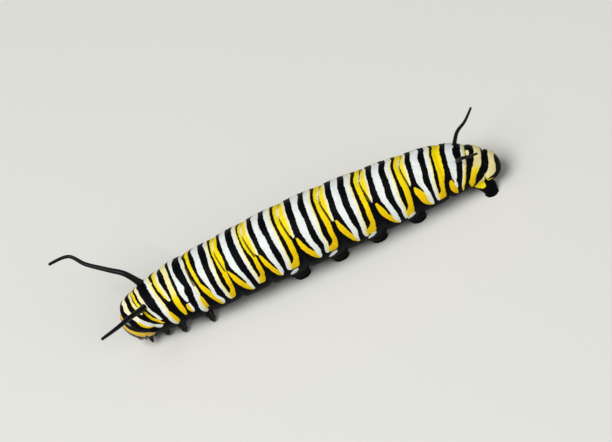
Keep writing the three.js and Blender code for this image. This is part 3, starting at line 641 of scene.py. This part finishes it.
def skin_material(colours):
    """Larval cuticle, soft and unsclerotised, dyed in bands. The black is velvety with a faint blue
    sheen, the light bands are waxy and let a little light through, and fine pebbling breaks the
    gloss."""
    material, tree, shader = new_material("larval_cuticle")
    where = add_node(tree, "ShaderNodeTexCoord").outputs["Object"]
    warmth = add_node(tree, "ShaderNodeAttribute", {"attribute_name": "warmth"}).outputs["Fac"]
    fold = add_node(tree, "ShaderNodeAttribute", {"attribute_name": "fold"}).outputs["Fac"]
    mask = ragged_mask(tree, where, "pale", grain=0.3, detail=4.0, swing=0.16, soft=(-0.02, 0.025))
    light = add_node(tree, "ShaderNodeValToRGB", None, {"Fac": warmth})
    ramp = light.color_ramp.elements
    ramp[0].position, ramp[0].color = WHITE, colours.white
    ramp[1].position, ramp[1].color = GOLD, colours.gold
    for position, colour in ((CREAM, colours.cream), (YELLOW, colours.yellow)):
        stop = ramp.new(position)
        stop.color = colour
    # Cloudy tone, 0.7 mm across, darkens the light bands by up to a seventh.
    mottle = add_node(tree, "ShaderNodeTexNoise", {"Scale": per_mm(0.7), "Detail": 4.0},
                      {"Vector": where})
    shade = add_node(tree, "ShaderNodeMapRange",
                     {"From Min": 0.3, "From Max": 0.7, "To Min": 0.86, "To Max": 1.0},
                     {"Value": mottle.outputs["Fac"]})
    toned = add_node(tree, "ShaderNodeMix",
                     {"data_type": "RGBA", "blend_type": "MULTIPLY", "Factor": 1.0},
                     {6: light.outputs["Color"], 7: shade.outputs["Result"]})
    dark = add_node(tree, "ShaderNodeMix",
                    {"data_type": "RGBA", 6: colours.black, 7: hex_colour("#09090d")},
                    {"Factor": mottle.outputs["Fac"]})
    base = add_node(tree, "ShaderNodeMix", {"data_type": "RGBA"},
                    {"Factor": mask, 6: dark.outputs[2], 7: toned.outputs[2]})
    # The creases between segments, where the black skin in the fold shows.
    crease = add_node(tree, "ShaderNodeMapRange",
                      {"From Min": 0.3, "From Max": 0.8, "To Max": 0.95}, {"Value": fold})
    colour = add_node(tree, "ShaderNodeMix", {"data_type": "RGBA", 7: hex_colour("#0d0606")},
                      {"Factor": crease.outputs["Result"], 6: base.outputs[2]})
    tree.links.new(colour.outputs[2], shader.inputs["Base Color"])
    rough = add_node(tree, "ShaderNodeMapRange", {"To Min": 0.5, "To Max": 0.45}, {"Value": mask})
    tree.links.new(rough.outputs["Result"], shader.inputs["Roughness"])
    # Granules, and wrinkles 0.25 mm apart. Real granules are some 0.02 mm wide, and these are drawn
    # 0.09 mm wide so that they show.
    pebbles = add_node(tree, "ShaderNodeTexVoronoi", {"Scale": per_mm(0.09)}, {"Vector": where})
    wrinkles = add_node(tree, "ShaderNodeTexNoise", {"Scale": per_mm(0.25), "Detail": 5.0},
                        {"Vector": where})
    relief = add_node(tree, "ShaderNodeMath", {"operation": "MULTIPLY_ADD", 1: -0.5},
                      {0: pebbles.outputs["Distance"], 2: wrinkles.outputs["Fac"]})
    bump = add_node(tree, "ShaderNodeBump", {"Strength": 0.6, "Distance": 0.03 * MM},
                    {"Height": relief.outputs[0]})
    tree.links.new(bump.outputs["Normal"], shader.inputs["Normal"])
    shader.inputs["Subsurface Weight"].default_value = 0.08
    shader.inputs["Subsurface Scale"].default_value = 0.3 * MM
    shader.inputs["IOR"].default_value = 1.45
    shader.inputs["Specular IOR Level"].default_value = 0.04
    return material


def horn_shader(name, colour, roughness, grain, gloss):
    """Sclerotised cuticle, hard and tanned: near black, with cloudy tone, a fine grain in the
    relief, whose size in millimetres is given, and a gloss from velvety to glassy. Returns the
    material, its tree and shader, and the outputs with its tone and its coordinates."""
    material, tree, shader = new_material(name)
    where = add_node(tree, "ShaderNodeTexCoord").outputs["Object"]
    cloud = add_node(tree, "ShaderNodeTexNoise", {"Scale": per_mm(grain * 4), "Detail": 3.0},
                     {"Vector": where})
    tone = add_node(tree, "ShaderNodeMix",
                    {"data_type": "RGBA", 6: hex_colour(colour), 7: hex_colour("#0f0d0e")},
                    {"Factor": cloud.outputs["Fac"]})
    tree.links.new(tone.outputs[2], shader.inputs["Base Color"])
    shader.inputs["Roughness"].default_value = roughness
    shader.inputs["Specular IOR Level"].default_value = gloss
    fine = add_node(tree, "ShaderNodeTexNoise", {"Scale": per_mm(grain), "Detail": 4.0},
                    {"Vector": where})
    bump = add_node(tree, "ShaderNodeBump", {"Strength": 0.35, "Distance": 0.015 * MM},
                    {"Height": fine.outputs["Fac"]})
    tree.links.new(bump.outputs["Normal"], shader.inputs["Normal"])
    return material, tree, shader, tone.outputs[2], where


def horn_material(name, colour, roughness, grain, gloss):
    """Hard cuticle without markings, which shows as near black with a highlight that is soft or
    sharp by its roughness."""
    return horn_shader(name, colour, roughness, grain, gloss)[0]


def head_material(arc_colour):
    """Head capsule: hard tanned cuticle with a wet gloss, and the yellow marks drawn from the
    piece's own attribute."""
    material, tree, shader, dark, where = horn_shader("head_capsule_cuticle", "#050506",
                                                      roughness=0.2, grain=0.09, gloss=0.5)
    mask = ragged_mask(tree, where, "arc", grain=0.1, detail=2.0, swing=0.06, soft=(-0.03, 0.03))
    colour = add_node(tree, "ShaderNodeMix", {"data_type": "RGBA", 7: arc_colour},
                      {"Factor": mask, 6: dark})
    tree.links.new(colour.outputs[2], shader.inputs["Base Color"])
    return material


# Head: a capsule with two cheeks, a groove down the crown and a flatter face, nodded forward.
HEAD_CENTRE = np.array([-19.64, -1.76, 2.32]) - ORIGIN
HEAD_DEPTH, HEAD_WIDTH, HEAD_HEIGHT = 1.4, 1.93, 2.2     # half sizes, in millimetres
HEAD_NOD = math.radians(-35)
HEAD_GROOVE = (0.2, 0.1)        # the crown groove's half width and depth, over the half sizes
HEAD_JAW = 0.1                  # how much narrower the head gets towards the mouth
HEAD_FLAT = 0.92                # how far the face comes forward, over the back of the head
SUTURE = (0.02, 0.018)          # the fine seam down the crown: half width and depth
FRONS = (0.03, 0.014)           # the seams that slant down from it: half width and depth,
FRONS_SLOPE = 0.42              # how far apart they run for each step down,
FRONS_TOP, FRONS_BOTTOM = 0.12, -0.85   # and where they start and end
# The yellow arc over the crown and down the cheeks: by height, how far forward its middle runs and
# its half width in millimetres, all but the last over the half sizes.
ARC_MIDDLE = np.array([(-0.56, -0.33), (-0.17, -0.2), (0.12, -0.1), (0.37, 0.0), (0.72, 0.15),
                       (0.9, 0.16), (1.0, 0.13)])
ARC_WIDTH = np.array([(-0.5, 0.27), (0.2, 0.26), (0.9, 0.17)])
ARC_BOTTOM = -0.6
ARC_SCALE = 1.45                # millimetres for each step forward
# The stripes down the face: how far out they start, how far they slant for each step down, where
# they start and end, and their half width in millimetres. The bar over the mouth: its height, its
# half length and its half width in millimetres. The face lies in front of FACE_FRONT.
STRIPE_OUT, STRIPE_SLOPE, STRIPE_TOP, STRIPE_BOTTOM, STRIPE_WIDTH = 0.14, 0.42, 0.45, -0.55, 0.12
BAR_HEIGHT, BAR_LENGTH, BAR_WIDTH = -0.66, 0.3, 0.1
FACE_FRONT = 0.1
# The upper lip, the two jaws and the lower lip, each an ellipsoid with its middle and half sizes
# in the head's axes, then the spinneret's way, and its root and tip radius.
MOUTH_LOBES = [
    ((-0.8, 0, -1.8), (0.32, 0.6, 0.3)),
    ((-0.56, -0.45, -1.92), (0.4, 0.36, 0.32)),
    ((-0.56, 0.45, -1.92), (0.4, 0.36, 0.32)),
    ((-0.02, 0, -2.08), (0.45, 0.55, 0.3)),
]
SPINNERET_WAY = [(-0.1, 0, -1.95), (-0.19, 0, -2.18), (-0.3, 0, -2.38)]
SPINNERET_RADII = (0.25, 0.13)
SPINNERET_TIP = 0.9     # where its tip begins to round off
# How many points the small pieces have: rings along and points round, or only those round.
HEAD_POINTS, ANTENNA_POINTS, SPINNERET_POINTS = (150, 220), (40, 20), (20, 20)
FEELER_POINTS, LEG_POINTS = (90, 28), (48, 24)
LOBE_POINTS, EYE_POINTS = 40, 24
# An antenna's place on the head by lat and lon, how far it is sunk and reaches, and its three
# joints as a radius by share of its length, in millimetres.
ANTENNA_LAT, ANTENNA_LON = 2.2, 1.12
ANTENNA_SUNK, ANTENNA_REACH = -0.2, 0.55
ANTENNA_PROFILE = np.array([(0, .27), (.2, .27), (.38, .26), (.4, .22), (.66, .21), (.68, .15),
                            (.93, .12), (1, .02)])


def from_head(points):
    """From the head's own axes, x back from the face and z from the mouth to the crown, to the
    frame's: turned by the nod and moved to the head's middle."""
    c, s = math.cos(HEAD_NOD), math.sin(HEAD_NOD)
    x, y, z = np.moveaxis(np.asarray(points, float), -1, 0)
    return np.stack([c * x + s * z, y, c * z - s * x], -1) + HEAD_CENTRE


def to_head(point):
    """The way back: a point of the frame in the head's own axes."""
    c, s = math.cos(HEAD_NOD), math.sin(HEAD_NOD)
    x, y, z = point - HEAD_CENTRE
    return np.array([c * x - s * z, y, c * z + s * x])


def head_surface(lat, lon, offset=0.0):
    """The head capsule: lat runs from the crown to the mouth and lon from the middle of the face
    towards the left cheek, in radians. An ellipsoid with front, side and up as its unit axes,
    pinched by a bell along the crown's middle, scored by narrow bells along its seams, narrower at
    the jaw and flatter in front, then nodded. The offset is added to its half sizes."""
    front = np.cos(lon) * np.sin(lat)
    side = np.sin(lon) * np.sin(lat)
    up = np.cos(lat) + 0 * lon
    crown = hump(side, 0, HEAD_GROOVE[0]) * np.maximum(0, up + 0.3) / 1.3
    suture = hump(side, 0, SUTURE[0]) * smooth_step(up, -0.1, 0.2)
    face = (front > 0) * (up < FRONS_TOP) * (up > FRONS_BOTTOM)
    frons = hump(np.abs(side) + FRONS_SLOPE * (up - FRONS_TOP), 0, FRONS[0]) * face
    r = 1 - HEAD_GROOVE[1] * crown - SUTURE[1] * suture - FRONS[1] * frons
    jaw = np.where(up < 0, 1 + HEAD_JAW * up, 1)
    flat = np.where(front > 0, HEAD_FLAT, 1)
    x = -(HEAD_DEPTH * flat + offset) * front * r
    y = -(HEAD_WIDTH * jaw + offset) * side * r
    z = (HEAD_HEIGHT + offset) * up * r
    return from_head(np.stack([x, y, z], -1))


FEELERS = [
    # place, turn, root and tip radius, and steps from the root in millimetres
    (1.53, -34, 0.35, 0.15, [(-1.08, .6, 1.34), (-2.68, 1.78, 1.84), (-4.58, 3.24, 2.37),
                             (-5.98, 4.69, 2.92), (-8.08, 4.44, 3.32)]),
    (1.42, 31.5, 0.35, 0.15, [(-1.2, -1.75, 1.4), (-2.65, -3.4, 2.6), (-4.0, -5.05, 3.95)]),
    (10.57, -28.6, 0.24, 0.11, [(0.9, 0.1, 1.2), (2.15, 0.2, 2.15), (3.3, 0.57, 3.2)]),
    (10.57, 22.9, 0.24, 0.11, [(0.6, -0.75, 0.85), (1.5, -1.55, 1.55), (2.35, -2.3, 2.3)]),
]
FEELER_SUNK = 0.6       # how far below the skin its path begins
FEELER_TAPER = 0.8      # the lower, the sooner it thins
FEELER_FLARE = (0.45, 0.08)     # how much wider its root is, and over what share of its length
FEELER_TIP = 0.975      # where its tip begins to round off
LEGS = [
    # place, sideways reach, step back, and size in millimetres
    (1.36, 0.2, 0.1, 0.5),
    (1.8, 0.55, 0.1, 0.56),
    (2.88, 0.75, 0.2, 0.58),
]
LEG_TURN = 143.2
LEG_SUNK = 0.7
LEG_KNEE = (0.05, 0.2, 0.05)    # how far back, out and up the knee stands off the straight way
CLAW_HEIGHT = 0.02
# A leg's radius over its size by share of its length: three joints and the claw.
LEG_PROFILE = np.array([(0, 1), (.12, 1), (.25, .98), (.36, .84), (.4, .9), (.55, .74), (.6, .6),
                        (.74, .58), (.78, .42), (.9, .3), (1, .02)])
# The six eyes of a cheek, by lat and lon.
EYES = [(1.42, 1.3), (1.56, 1.1), (1.74, 0.98), (1.92, 1.1), (1.98, 1.4), (1.72, 1.6)]
EYE_RADIUS = 0.15
EYE_SUNK = -0.05


class LarvaSkinSettings(bpy.types.PropertyGroup):
    """Sizes of the skin."""

    spacing: bpy.props.FloatProperty(
        name="Point spacing", description="Distance between the rings of points along the trunk",
        default=0.098 * MM, min=0.05 * MM, unit="LENGTH")
    sides: bpy.props.IntProperty(
        name="Points round", description="Points in one ring of the trunk", default=212, min=32)


def colour_property(name, description, text):
    """A colour setting with its default as an sRGB hex value."""
    return bpy.props.FloatVectorProperty(name=name, description=description, subtype="COLOR",
                                         size=4, min=0, max=1, default=hex_colour(text))


class LarvaColourSettings(bpy.types.PropertyGroup):
    """The colours of the skin and of the head's markings."""

    black: colour_property("Black", "The dark skin between the bands", "#040406")
    white: colour_property("White", "The coldest bands", "#e6ebe6")
    cream: colour_property("Cream", "The rims, and the bands at both ends", "#f3ebbd")
    yellow: colour_property("Yellow", "The warm bands on the back", "#f2da12")
    gold: colour_property("Gold", "The warm bands on the flank", "#eec60a")
    head_arc: colour_property("Head arc", "The marks on the head capsule", "#dcb22a")


class LarvaStageSettings(bpy.types.PropertyGroup):
    """The floor, the lights and the camera."""

    floor_size: bpy.props.FloatProperty(
        name="Floor size", description="Side of the square floor", default=2.0, unit="LENGTH")
    camera_distance: bpy.props.FloatProperty(
        name="Camera distance", description="From the camera to the point it looks at",
        default=0.25, unit="LENGTH")
    focal_length: bpy.props.FloatProperty(
        name="Focal length", description="The camera lens, in millimetres on a 36 mm sensor",
        default=147.06, min=10)


class LARVA_OT_skin(bpy.types.Operator):
    """Builds the skin of the trunk and the prolegs as one closed surface."""

    bl_idname = "larva.skin"
    bl_label = "Skin"

    def execute(self, context):
        place, turn = self.grid(context.scene.larva_skin)
        points = trunk_surface(place, turn)
        pale, warmth = band_fields(place, turn)
        dark, pale_line = crease_fields(place, turn)
        height = self.prolegs(points, place, turn)
        pale = np.where(height < BLACK_SHARE, -1.0, pale)
        fields = {"pale": pale, "warmth": warmth - pale_line, "fold": dark}
        mesh = closed_mesh("skin", points, points[0].mean(0), points[-1].mean(0), fields)
        place_piece("skin", [mesh], skin_material(context.scene.larva_colours),
                    nodes_named("thorax_", "abdomen_", "proleg_", "tail_proleg_"))
        return {"FINISHED"}

    def grid(self, settings):
        """The place and turn of each point: rings evenly apart along the trunk, and over the tail
        closer and closer, by the sine of even steps. The first rings slant with the neck."""
        length = (FOLDS[-1, 0] - FOLDS[0, 0]) * MM
        rows = int(length / settings.spacing)
        sample = np.linspace(0, TAIL, 4000)
        along = through(FOLDS[:, :1], sample)[:, 0]
        trunk = np.interp(np.linspace(along[0], along[-1], rows - TAIL_RINGS + 1), along, sample)
        tail = TAIL + np.sin(np.linspace(0, np.pi / 2, TAIL_RINGS + 1))[1:] * TAIL_REACH
        place, turn = np.meshgrid(np.concatenate([trunk, tail]),
                                  -180 + 360 * np.arange(settings.sides) / settings.sides,
                                  indexing="ij")
        return place + neck_place(turn) * np.maximum(1 - place / NECK_FADE, 0), turn

    def prolegs(self, points, place, turn):
        """Grows all ten prolegs out of the skin, and returns each point's height share on them."""
        height = np.ones(place.shape)
        for segment in PROLEG_SEGMENTS:
            root_place = segment + ABDOMEN_PLACE + PROLEG_PLACE
            for side in (1, -1):
                root, foot = self.foot(root_place, side)
                share = grow_proleg(points, place, turn, side, root_place, PROLEG_ROOT, root, foot)
                height = np.minimum(height, share)
        root_place, root_out, foot_out, step = TAIL_PROLEG
        centre = section(np.array(root_place))[0]
        for side in (1, -1):
            root = np.array([centre[0], centre[1] - side * root_out])
            foot = np.array([centre[0] + step, centre[1] - side * foot_out])
            share = grow_proleg(points, place, turn, side, root_place, TAIL_PROLEG_ROOT, root, foot,
                                TAIL_PROLEG_SCALE)
            height = np.minimum(height, share + TAIL_BLACK_DROP)
        return height

    def foot(self, root_place, side):
        """The middles of a proleg's root and sole, seen from above: PROLEG_SUNK inside the skin, and
        a little further out and back."""
        centre, _, right, _, radius = section(np.array(root_place))
        inner = radius * (1 + SWELL * np.sin(np.pi * (root_place % 1))) - PROLEG_SUNK
        y = -side * inner * SIDE_SHARE * math.sin(math.radians(PROLEG_TURN))
        root = (centre + right * y)[:2]
        return root, root + np.array([PROLEG_STEP, -side * PROLEG_SPREAD])


class LARVA_OT_feelers(bpy.types.Operator):
    """Builds the two long feelers behind the head and the two short ones over the tail. The radius
    goes from root to tip by the power FEELER_TAPER of the share of its length, with a bell added
    at the root, and rounds off at the tip."""

    bl_idname = "larva.feelers"
    bl_label = "Feelers"

    def execute(self, context):
        meshes = []
        for place, turn, root, tip, way in FEELERS:
            at, around = np.array([[place]]), np.array([[turn]])
            foot = trunk_surface(at, around)[0, 0]
            centre = section(np.array(place))[0]
            sunk = foot + FEELER_SUNK * unit(centre - foot)
            path = [sunk] + [foot + np.array(step) for step in way]
            t = np.linspace(0, 1, FEELER_POINTS[0])
            flare = FEELER_FLARE[0] * root * hump(t, 0, FEELER_FLARE[1])
            radii = (root + (tip - root) * t ** FEELER_TAPER + flare) * round_off(t, FEELER_TIP)
            rings, first, last = tube(path, radii, FEELER_POINTS[1])
            meshes.append(closed_mesh("feeler", rings, first, last))
        material = horn_material("feeler_cuticle", "#040406", roughness=0.42, grain=0.05, gloss=0.16)
        place_piece("feelers", meshes, material, nodes_named("feeler_"))
        return {"FINISHED"}


class LARVA_OT_head(bpy.types.Operator):
    """Builds the head capsule."""

    bl_idname = "larva.head"
    bl_label = "Head capsule"

    def execute(self, context):
        lat = np.linspace(0, np.pi, HEAD_POINTS[0])[1:-1]
        lon = np.linspace(0, 2 * np.pi, HEAD_POINTS[1], endpoint=False)
        lat, lon = np.meshgrid(lat, lon, indexing="ij")
        points = head_surface(lat, lon)
        first = head_surface(np.array(0.0), np.array(0.0))
        last = head_surface(np.array(np.pi), np.array(0.0))
        arc = self.arc(lat, np.minimum(lon, 2 * np.pi - lon))
        mesh = closed_mesh("head", points, first, last, {"arc": arc})
        material = head_material(context.scene.larva_colours.head_arc)
        place_piece("head_capsule", [mesh], material, ["head"])
        return {"FINISHED"}

    def arc(self, lat, lon):
        """The signed distance in millimetres into the nearest yellow mark: the arc, whose middle
        and width are read off by height, a slanting stripe on each side of the face, and the bar."""
        front = np.cos(lon) * np.sin(lat)
        side = np.abs(np.sin(lon) * np.sin(lat))
        up = np.cos(lat)
        arc = by_place(ARC_WIDTH, up) - ARC_SCALE * np.abs(front - by_place(ARC_MIDDLE, up))
        arc = np.minimum(arc, (up - ARC_BOTTOM) * HEAD_HEIGHT)
        middle = STRIPE_OUT + STRIPE_SLOPE * (STRIPE_TOP - up)
        stripe = STRIPE_WIDTH - HEAD_WIDTH * np.abs(side - middle)
        stripe = np.minimum(stripe, np.minimum(STRIPE_TOP - up, up - STRIPE_BOTTOM) * HEAD_HEIGHT)
        bar = np.minimum(BAR_WIDTH - HEAD_HEIGHT * np.abs(up - BAR_HEIGHT),
                         (BAR_LENGTH - side) * HEAD_WIDTH)
        face = np.where(front > FACE_FRONT, np.maximum(stripe, bar), -1.0)
        return np.maximum(arc, face)


class LARVA_OT_mouth(bpy.types.Operator):
    """Builds the mouthparts and the two antennae."""

    bl_idname = "larva.mouth"
    bl_label = "Mouthparts and antennae"

    def execute(self, context):
        meshes = [ball(at, size, LOBE_POINTS) for at, size in MOUTH_LOBES]
        rows, sides = SPINNERET_POINTS
        t = np.linspace(0, 1, rows)
        root, tip = SPINNERET_RADII
        radii = (root + (tip - root) * t) * round_off(t, SPINNERET_TIP)
        rings, first, last = tube(from_head(SPINNERET_WAY), radii, sides, (0, 1, 0))
        meshes.append(closed_mesh("spinneret", rings, first, last))
        material = horn_material("mouth_horn", "#060506", roughness=0.3, grain=0.06, gloss=0.3)
        place_piece("mouthparts", meshes, material, ["mouthparts"])
        antennae = []
        rows, sides = ANTENNA_POINTS
        for side in (1, -1):
            at = np.array(ANTENNA_LAT), np.array(side * ANTENNA_LON)
            foot = head_surface(*at, ANTENNA_SUNK)
            tip = head_surface(*at, ANTENNA_REACH)
            radii = by_place(ANTENNA_PROFILE, np.linspace(0, 1, rows))
            rings, first, last = tube([foot, (foot + tip) / 2, tip], radii, sides, (0.3, 0.2, 1))
            antennae.append(closed_mesh("antenna", rings, first, last))
        place_piece("antennae", antennae, material, nodes_named("antenna_"))
        return {"FINISHED"}


def ball(centre, size, sides):
    """A sphere by lat and lon, stretched along the head's three axes, with its centre in them."""
    lat = np.linspace(0, np.pi, sides // 2 + 1)[1:-1, None]
    lon = np.linspace(0, 2 * np.pi, sides, endpoint=False)[None]
    shape = np.stack([np.sin(lat) * np.cos(lon), -np.sin(lat) * np.sin(lon), np.cos(lat) + 0 * lon],
                     -1)
    size = np.array(size, float)
    pole = np.array([0, 0, size[2]])
    return closed_mesh("ball", from_head(shape * size + centre), from_head(centre + pole),
                       from_head(centre - pole))


class LARVA_OT_eyes(bpy.types.Operator):
    """Builds the twelve simple eyes."""

    bl_idname = "larva.eyes"
    bl_label = "Eyes"

    def execute(self, context):
        meshes = []
        for side in (1, -1):
            for lat, lon in EYES:
                centre = head_surface(np.array(lat), np.array(side * lon), EYE_SUNK)
                meshes.append(ball(to_head(centre), [EYE_RADIUS] * 3, EYE_POINTS))
        material = horn_material("eye_lens", "#030304", roughness=0.06, grain=0.2, gloss=0.6)
        place_piece("eyes", meshes, material, nodes_named("eye_"))
        return {"FINISHED"}


class LARVA_OT_legs(bpy.types.Operator):
    """Builds the six jointed legs of the thorax, each a tube from inside the skin over the hip and
    the knee to the claw, flattened where it would pass through the floor."""

    bl_idname = "larva.legs"
    bl_label = "Legs"

    def execute(self, context):
        back, out, up = LEG_KNEE
        rows, sides = LEG_POINTS
        meshes = []
        for place, reach, step, size in LEGS:
            for side in (1, -1):
                at, turn = np.array([[place]]), np.array([[side * LEG_TURN]])
                hip = trunk_surface(at, turn)[0, 0]
                centre = section(np.array(place))[0]
                sunk = hip + LEG_SUNK * unit(centre - hip)
                claw = np.array([hip[0] + step, hip[1] - side * reach, CLAW_HEIGHT])
                knee = (hip + claw) / 2 + np.array([back, -side * out, up])
                radii = by_place(LEG_PROFILE, np.linspace(0, 1, rows)) * size
                rings, first, last = tube([sunk, hip, knee, claw], radii, sides, (1, 0, 0))
                rings[..., 2] = np.maximum(rings[..., 2], 0)
                meshes.append(closed_mesh("leg", rings, first, last))
        material = horn_material("leg_horn", "#050506", roughness=0.32, grain=0.08, gloss=0.22)
        place_piece("legs", meshes, material, nodes_named("leg_"))
        return {"FINISHED"}


CAMERA_AZIMUTH = math.radians(10.3)
CAMERA_ELEVATION = math.radians(48)
CAMERA_ROLL = math.radians(32.7)
CAMERA_TARGET = (np.array([0.0, 0.0, 3.6]) - ORIGIN) * MM
SENSOR_WIDTH = 36       # in millimetres
LIGHTS = [
    # name, place and side in metres, and power in watts
    ("key_light", (-0.18, -0.12, 0.42), 0.3, 2.25),
    ("fill_light", (0.35, -0.3, 0.25), 0.4, 0.8),
]
SKY_STRENGTH = 0.2


class LARVA_OT_stage(bpy.types.Operator):
    """Lays the pale floor, hangs the soft lights and sets up the camera."""

    bl_idname = "larva.stage"
    bl_label = "Floor, lights and camera"

    def execute(self, context):
        settings = context.scene.larva_stage
        self.floor(settings.floor_size)
        for name, at, size, power in LIGHTS:
            self.light(name, at, size, power)
        world = bpy.data.worlds.new("studio")
        world.use_nodes = True
        background = world.node_tree.nodes["Background"]
        background.inputs["Color"].default_value = hex_colour("#eef1f4")
        background.inputs["Strength"].default_value = SKY_STRENGTH
        context.scene.world = world
        # Shows each colour as its hex value gives it.
        context.scene.view_settings.view_transform = "Standard"
        self.camera(settings)
        return {"FINISHED"}

    def floor(self, size):
        """A flat square of matt card under the soles, which shows as an even pale ground."""
        half = size / 2
        mesh = bpy.data.meshes.new("floor")
        corners = [(-half, -half, 0), (half, -half, 0), (half, half, 0), (-half, half, 0)]
        mesh.from_pydata(corners, [], [(0, 1, 2, 3)])
        floor = bpy.data.objects.new("floor", mesh)
        bpy.context.scene.collection.objects.link(floor)
        material, _, shader = new_material("matt_card")
        shader.inputs["Base Color"].default_value = hex_colour("#d9d8d2")
        shader.inputs["Roughness"].default_value = 0.9
        mesh.materials.append(material)

    def light(self, name, at, size, power):
        """A square soft light that faces the larva."""
        data = bpy.data.lights.new(name, "AREA")
        data.size = size
        data.energy = power
        lamp = bpy.data.objects.new(name, data)
        lamp.location = at
        lamp.rotation_euler = (-Vector(at)).to_track_quat("-Z", "Y").to_euler()
        bpy.context.scene.collection.objects.link(lamp)

    def camera(self, settings):
        """A camera that looks down on the larva's left side, rolled so that its body slants across
        the picture: its level and upright axes are turned by the roll about its line of sight."""
        a, e, roll = CAMERA_AZIMUTH, CAMERA_ELEVATION, CAMERA_ROLL
        back = np.array([math.sin(a) * math.cos(e), -math.cos(a) * math.cos(e), math.sin(e)])
        level = np.array([math.cos(a), math.sin(a), 0])
        upright = np.cross(back, level)
        right = math.cos(roll) * level - math.sin(roll) * upright
        up = math.sin(roll) * level + math.cos(roll) * upright
        data = bpy.data.cameras.new("camera")
        data.lens = settings.focal_length
        data.sensor_width = SENSOR_WIDTH
        data.clip_start = 0.01
        data.clip_end = 10
        camera = bpy.data.objects.new("camera", data)
        matrix = np.eye(4)
        matrix[:3, 0], matrix[:3, 1], matrix[:3, 2] = right, up, back
        matrix[:3, 3] = CAMERA_TARGET + settings.camera_distance * back
        camera.matrix_world = Matrix(matrix.tolist())
        bpy.context.scene.collection.objects.link(camera)
        bpy.context.scene.camera = camera


class LARVA_PT_panel(bpy.types.Panel):
    """Lists the settings and the operators."""

    bl_idname = "LARVA_PT_panel"
    bl_label = "Monarch larva"
    bl_space_type = "VIEW_3D"
    bl_region_type = "UI"
    bl_category = "Larva"

    def draw(self, context):
        layout = self.layout
        for name, settings in SETTINGS.items():
            box = layout.box()
            for key in settings.__annotations__:
                box.prop(getattr(context.scene, name), key)
        for operator in OPERATORS:
            layout.operator(operator.bl_idname)


OPERATORS = (
    LARVA_OT_skin, LARVA_OT_feelers, LARVA_OT_head, LARVA_OT_mouth, LARVA_OT_eyes, LARVA_OT_legs,
    LARVA_OT_stage,
)
SETTINGS = {
    "larva_skin": LarvaSkinSettings,
    "larva_colours": LarvaColourSettings,
    "larva_stage": LarvaStageSettings,
}
CLASSES = (*SETTINGS.values(), *OPERATORS, LARVA_PT_panel)


def register():
    """Registers the classes and hangs the settings on the scene."""
    for cls in CLASSES:
        bpy.utils.register_class(cls)
    for name, settings in SETTINGS.items():
        setattr(bpy.types.Scene, name, bpy.props.PointerProperty(type=settings))


def unregister():
    """Takes the settings and the classes away again."""
    for name in SETTINGS:
        delattr(bpy.types.Scene, name)
    for cls in reversed(CLASSES):
        bpy.utils.unregister_class(cls)


def main():
    """Builds every piece."""
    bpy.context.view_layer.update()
    register()
    for operator in OPERATORS:
        group, name = operator.bl_idname.split(".")
        getattr(getattr(bpy.ops, group), name)()


if __name__ == "__main__":
    main()
